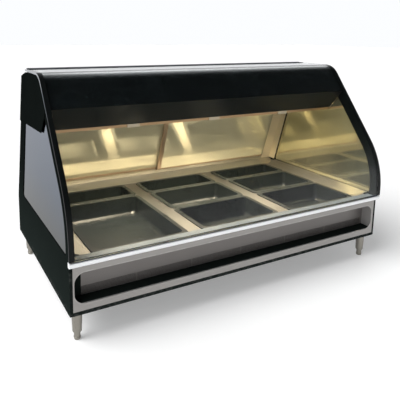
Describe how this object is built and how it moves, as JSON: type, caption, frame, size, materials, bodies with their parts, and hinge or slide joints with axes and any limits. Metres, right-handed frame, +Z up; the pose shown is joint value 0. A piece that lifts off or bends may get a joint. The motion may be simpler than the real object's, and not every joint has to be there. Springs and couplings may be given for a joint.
{
  "type": "heated display case",
  "caption": "Heated countertop display case with curved lift-up front glass, lamp canopy, lift-out pans, mirror end glass and sliding rear doors.",
  "frame": {"origin": "centre of the footprint of the whole case, on the surface that its four feet stand on", "axes": "+X to the right seen from the customer's side, +Y towards the operator's side at the rear, +Z up"},
  "size_m": [1.219, 0.7, 0.738],
  "materials": {
    "black_panel": "satin black powder coat",
    "black_hood": "gloss black enamel",
    "fascia_steel": "long-grain brushed stainless, warm grey",
    "liner_steel": "brushed stainless",
    "sill_steel": "satin stainless, fine grain",
    "ledge_steel": "brushed stainless, grain front to back",
    "deck_steel": "brushed stainless, grain front to back, warm",
    "door_bronze": "bronze anodised",
    "post_steel": "brushed stainless, upright grain",
    "reflector_steel": "heat-tinted reflector sheet",
    "recess_steel": "polished stainless in shade",
    "recess_grey": "smooth grey paint",
    "rail_aluminium": "bright anodised",
    "track_aluminium": "satin anodised",
    "hinge_black": "satin black",
    "clear_glass": "clear tempered glass with black printed side borders",
    "end_glass": "reflective glass, grey from outside",
    "door_mirror": "reflective sliding door pane",
    "pan_black": "gloss black",
    "rubber": "matt seal",
    "lamp_lens": "frosted lamp cover",
    "lamp_tube": "white lamp tube",
    "ceramic": "white lamp holder",
    "clip_steel": "bright stainless",
    "leg_steel": "satin nickel",
    "zinc": "zinc plated",
    "cable_sheath": "silicone sheath",
    "insulation": "mineral blanket",
    "control_black": "moulded black",
    "control_plate": "satin dark plate",
    "indicator_red": "translucent red"
  },
  "bodies": {
    "case": {"base_tray": "black_panel", "front_fascia": "fascia_steel", "recess_sleeve": "recess_steel", "recess_floor": "black_panel", "recess_back_panel": "recess_grey", "vent_panel": "recess_grey", "bullnose_rail": "rail_aluminium", "front_sill": "sill_steel", "glass_seal": "rubber", "legs": "leg_steel", "leg_plates": "zinc", "end_panel_left": "black_panel", "end_panel_right": "black_panel", "end_glass_left": "end_glass", "end_glass_right": "end_glass", "canopy_end_caps": "black_panel", "deck_plate": "deck_steel", "side_ledges": "ledge_steel", "well_liner": "liner_steel", "heating_cable": "cable_sheath", "insulation": "insulation", "rear_ledge": "liner_steel", "rear_base_panel": "fascia_steel", "control_panel": "control_plate", "rear_panel_screws": "zinc", "indicator_lens": "indicator_red", "switch_bezel": "control_black", "thermostat_body": "control_black", "cable_gland": "control_black", "door_track_bottom": "track_aluminium", "door_track_top": "track_aluminium", "rear_posts": "post_steel", "canopy_hood": "black_hood", "canopy_reflector": "reflector_steel", "lamp_lenses": "lamp_lens", "lamp_clips": "clip_steel", "lamp_tubes": "lamp_tube", "lamp_sockets": "ceramic", "hinge_rail": "hinge_black", "hinge_pin": "zinc"},
    "front_glass": {"front_glass": "clear_glass", "glass_hinge_leaf": "hinge_black"},
    "door_left": {"door_frame_left": "door_bronze", "door_glass_left": "door_mirror"},
    "door_right": {"door_frame_right": "door_bronze", "door_glass_right": "door_mirror"},
    "thermostat_knob": {"thermostat_knob": "control_black"},
    "power_rocker": {"power_rocker": "control_black"},
    "pan_left_front": {"pan_left_front": "pan_black"},
    "pan_left_rear": {"pan_left_rear": "pan_black"},
    "pan_middle_front": {"pan_middle_front": "pan_black"},
    "pan_middle_centre": {"pan_middle_centre": "pan_black"},
    "pan_middle_rear": {"pan_middle_rear": "pan_black"},
    "pan_right_front": {"pan_right_front": "pan_black"},
    "pan_right_centre": {"pan_right_centre": "pan_black"},
    "pan_right_rear": {"pan_right_rear": "pan_black"},
    "foot_front_left": {"foot_front_left": "leg_steel"},
    "foot_front_right": {"foot_front_right": "leg_steel"},
    "foot_rear_left": {"foot_rear_left": "leg_steel"},
    "foot_rear_right": {"foot_rear_right": "leg_steel"}
  },
  "joints": [
    {"name": "front_glass_lift", "type": "hinge", "parent": "case", "child": "front_glass", "pos_m": [0, 0.116, 0.733], "axis": [-1, 0, 0], "range_deg": [0, 60]},
    {"name": "door_left_slide", "type": "slide", "parent": "case", "child": "door_left", "axis": [1, 0, 0], "range_m": [0, 0.555]},
    {"name": "door_right_slide", "type": "slide", "parent": "case", "child": "door_right", "axis": [-1, 0, 0], "range_m": [0, 0.555]},
    {"name": "thermostat_turn", "type": "hinge", "parent": "case", "child": "thermostat_knob", "pos_m": [0.4, 0.336, 0.164], "axis": [0, -1, 0], "range_deg": [0, 270]},
    {"name": "power_switch", "type": "hinge", "parent": "case", "child": "power_rocker", "pos_m": [0.25, 0.324, 0.164], "axis": [-1, 0, 0], "range_deg": [0, 18]},
    {"name": "pan_left_front_lift", "type": "slide", "parent": "case", "child": "pan_left_front", "axis": [0, 0, 1], "range_m": [0, 0.1]},
    {"name": "pan_left_rear_lift", "type": "slide", "parent": "case", "child": "pan_left_rear", "axis": [0, 0, 1], "range_m": [0, 0.1]},
    {"name": "pan_middle_front_lift", "type": "slide", "parent": "case", "child": "pan_middle_front", "axis": [0, 0, 1], "range_m": [0, 0.1]},
    {"name": "pan_middle_centre_lift", "type": "slide", "parent": "case", "child": "pan_middle_centre", "axis": [0, 0, 1], "range_m": [0, 0.1]},
    {"name": "pan_middle_rear_lift", "type": "slide", "parent": "case", "child": "pan_middle_rear", "axis": [0, 0, 1], "range_m": [0, 0.1]},
    {"name": "pan_right_front_lift", "type": "slide", "parent": "case", "child": "pan_right_front", "axis": [0, 0, 1], "range_m": [0, 0.1]},
    {"name": "pan_right_centre_lift", "type": "slide", "parent": "case", "child": "pan_right_centre", "axis": [0, 0, 1], "range_m": [0, 0.1]},
    {"name": "pan_right_rear_lift", "type": "slide", "parent": "case", "child": "pan_right_rear", "axis": [0, 0, 1], "range_m": [0, 0.1]},
    {"name": "foot_front_left_adjust", "type": "slide", "parent": "case", "child": "foot_front_left", "axis": [0, 0, -1], "range_m": [0, 0.02]},
    {"name": "foot_front_right_adjust", "type": "slide", "parent": "case", "child": "foot_front_right", "axis": [0, 0, -1], "range_m": [0, 0.02]},
    {"name": "foot_rear_left_adjust", "type": "slide", "parent": "case", "child": "foot_rear_left", "axis": [0, 0, -1], "range_m": [0, 0.02]},
    {"name": "foot_rear_right_adjust", "type": "slide", "parent": "case", "child": "foot_rear_right", "axis": [0, 0, -1], "range_m": [0, 0.02]}
  ]
}
